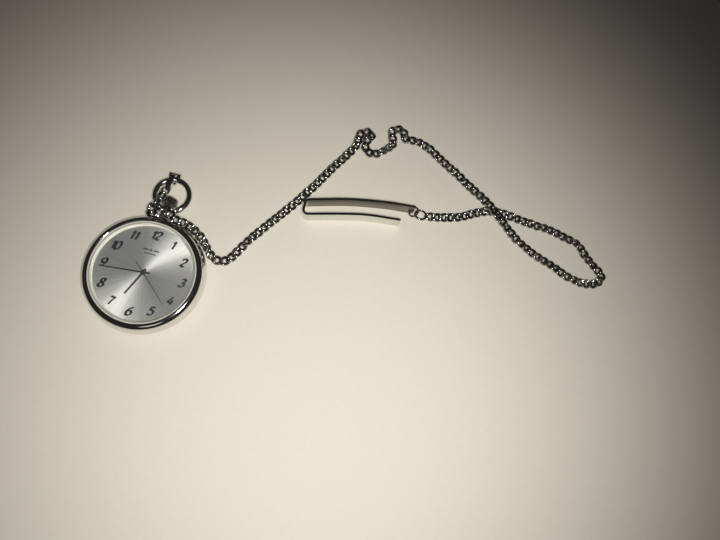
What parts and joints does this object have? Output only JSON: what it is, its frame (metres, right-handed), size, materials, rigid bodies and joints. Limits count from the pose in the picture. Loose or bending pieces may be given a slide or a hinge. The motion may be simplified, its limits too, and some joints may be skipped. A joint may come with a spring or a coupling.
{
  "type": "pocket watch",
  "caption": "Slim open-face quartz pocket watch with a hinged bow, crown, three hands and wheel train, a curb chain with a lever clasp, and a spring belt clip.",
  "frame": {"origin": "on the watch's axis, at the flat of the case back that it rests on", "axes": "+Z out of the dial, +Y towards 12 o'clock and the crown, +X towards 3 o'clock"},
  "size_m": [0.19, 0.1054, 0.0086],
  "materials": {
    "case_steel": "polished",
    "bezel_steel": "polished dome",
    "bow_steel": "polished",
    "chain_steel": "polished curb links",
    "clasp_steel": "polished",
    "clip_steel": "mirror polished strip",
    "crystal_glass": "clear mineral glass",
    "rehaut": "pale satin",
    "gasket": "matt",
    "seal_black": "matt",
    "dial_silver": "sunburst brushed",
    "hand_black": "gloss black",
    "brass": "machined",
    "plate_nickel": "fine matt nickel",
    "pinion_steel": "burnished",
    "wheel_plastic": "moulded",
    "holder_plastic": "moulded",
    "battery_steel": "satin",
    "copper_wire": "enamelled winding",
    "soft_iron": "annealed",
    "magnet": "sintered",
    "board_green": "solder mask",
    "chip_black": "moulded"
  },
  "bodies": {
    "case": {"case_back": "case_steel", "case_back_gasket": "seal_black", "case_middle": "case_steel", "bezel": "bezel_steel", "crystal": "crystal_glass", "crystal_gasket": "gasket", "rehaut_ring": "rehaut", "pendant_neck": "case_steel", "crown_gasket": "seal_black", "dial": "dial_silver", "main_plate": "plate_nickel", "train_bridge": "plate_nickel", "bridge_screws": "pinion_steel", "movement_spacer": "holder_plastic", "battery": "battery_steel", "battery_clamp": "plate_nickel", "coil_core": "soft_iron", "coil_winding": "copper_wire", "stator": "soft_iron", "circuit_board": "board_green", "ic_chip": "chip_black", "quartz_crystal": "battery_steel", "chain_knee": "chain_steel", "chain_run": "chain_steel", "clip_ring": "chain_steel", "clip_link": "chain_steel", "belt_clip": "clip_steel"},
    "seconds": {"fourth_pinion": "pinion_steel", "fourth_wheel": "brass", "second_hand": "hand_black"},
    "fifth": {"fifth_pinion": "pinion_steel", "fifth_wheel": "wheel_plastic"},
    "rotor": {"rotor_pinion": "pinion_steel", "rotor_magnet": "magnet"},
    "third": {"third_pinion": "pinion_steel", "third_wheel": "brass"},
    "minutes": {"centre_wheel": "brass", "cannon_pinion": "pinion_steel", "minute_hand": "hand_black"},
    "minute_work": {"minute_wheel": "wheel_plastic", "minute_pinion": "wheel_plastic"},
    "hours": {"hour_wheel": "brass", "hour_hand": "hand_black"},
    "setting": {"setting_wheel": "pinion_steel"},
    "clutch": {"sliding_pinion": "pinion_steel"},
    "crown": {"crown": "case_steel", "stem": "pinion_steel"},
    "bow": {"bow": "bow_steel", "clasp_body": "clasp_steel", "clasp_rivet": "clasp_steel", "clasp_ring": "chain_steel"},
    "lever": {"clasp_lever": "clasp_steel"}
  },
  "joints": [
    {"name": "seconds_turn", "type": "hinge", "parent": "case", "child": "seconds", "pos_m": [0, 0, 0.002], "axis": [0, 0, -1], "continuous": true},
    {"name": "fifth_turn", "type": "hinge", "parent": "case", "child": "fifth", "pos_m": [0.00249, -0.00144, 0.002], "axis": [0, 0, -1], "continuous": true},
    {"name": "rotor_turn", "type": "hinge", "parent": "case", "child": "rotor", "pos_m": [0.00375, -0.00362, 0.002], "axis": [0, 0, -1], "continuous": true},
    {"name": "third_turn", "type": "hinge", "parent": "case", "child": "third", "pos_m": [-0.00324, 0.00187, 0.002], "axis": [0, 0, -1], "continuous": true},
    {"name": "minutes_turn", "type": "hinge", "parent": "case", "child": "minutes", "pos_m": [0, 0, 0.002], "axis": [0, 0, -1], "continuous": true},
    {"name": "minute_wheel_turn", "type": "hinge", "parent": "case", "child": "minute_work", "pos_m": [0, 0.0026, 0.002], "axis": [0, 0, -1], "continuous": true},
    {"name": "hours_turn", "type": "hinge", "parent": "case", "child": "hours", "pos_m": [0, 0, 0.002], "axis": [0, 0, -1], "continuous": true},
    {"name": "setting_wheel_turn", "type": "hinge", "parent": "case", "child": "setting", "pos_m": [0, 0.00559, 0.002], "axis": [0, 0, -1], "continuous": true},
    {"name": "crown_turn", "type": "hinge", "parent": "case", "child": "clutch", "pos_m": [0, 0.009, 0.00305], "axis": [0, 1, 0], "continuous": true},
    {"name": "crown_pull", "type": "slide", "parent": "clutch", "child": "crown", "axis": [0, 1, 0], "range_m": [0, 0.001]},
    {"name": "bow_swing", "type": "hinge", "parent": "case", "child": "bow", "pos_m": [0, 0.02565, 0.00305], "axis": [1, 0, 0], "range_deg": [-90, 80], "deforming": ["chain_knee"]},
    {"name": "clasp_lever_press", "type": "hinge", "parent": "bow", "child": "lever", "pos_m": [-0.0016, 0.03353, 0.00452], "axis": [1, 0, 0], "range_deg": [0, 18], "stiffness_Nm_per_rad": 0.0005, "springref_deg": -11.46}
  ],
  "couplings": [
    {"joint": "fifth_turn", "follows": "seconds_turn", "ratio": -5},
    {"joint": "rotor_turn", "follows": "seconds_turn", "ratio": 30},
    {"joint": "third_turn", "follows": "seconds_turn", "ratio": -0.13333},
    {"joint": "minutes_turn", "follows": "seconds_turn", "ratio": 0.016667},
    {"joint": "minute_wheel_turn", "follows": "seconds_turn", "ratio": -0.0055556},
    {"joint": "hours_turn", "follows": "seconds_turn", "ratio": 0.0013889},
    {"joint": "setting_wheel_turn", "follows": "seconds_turn", "ratio": 0.010417}
  ]
}
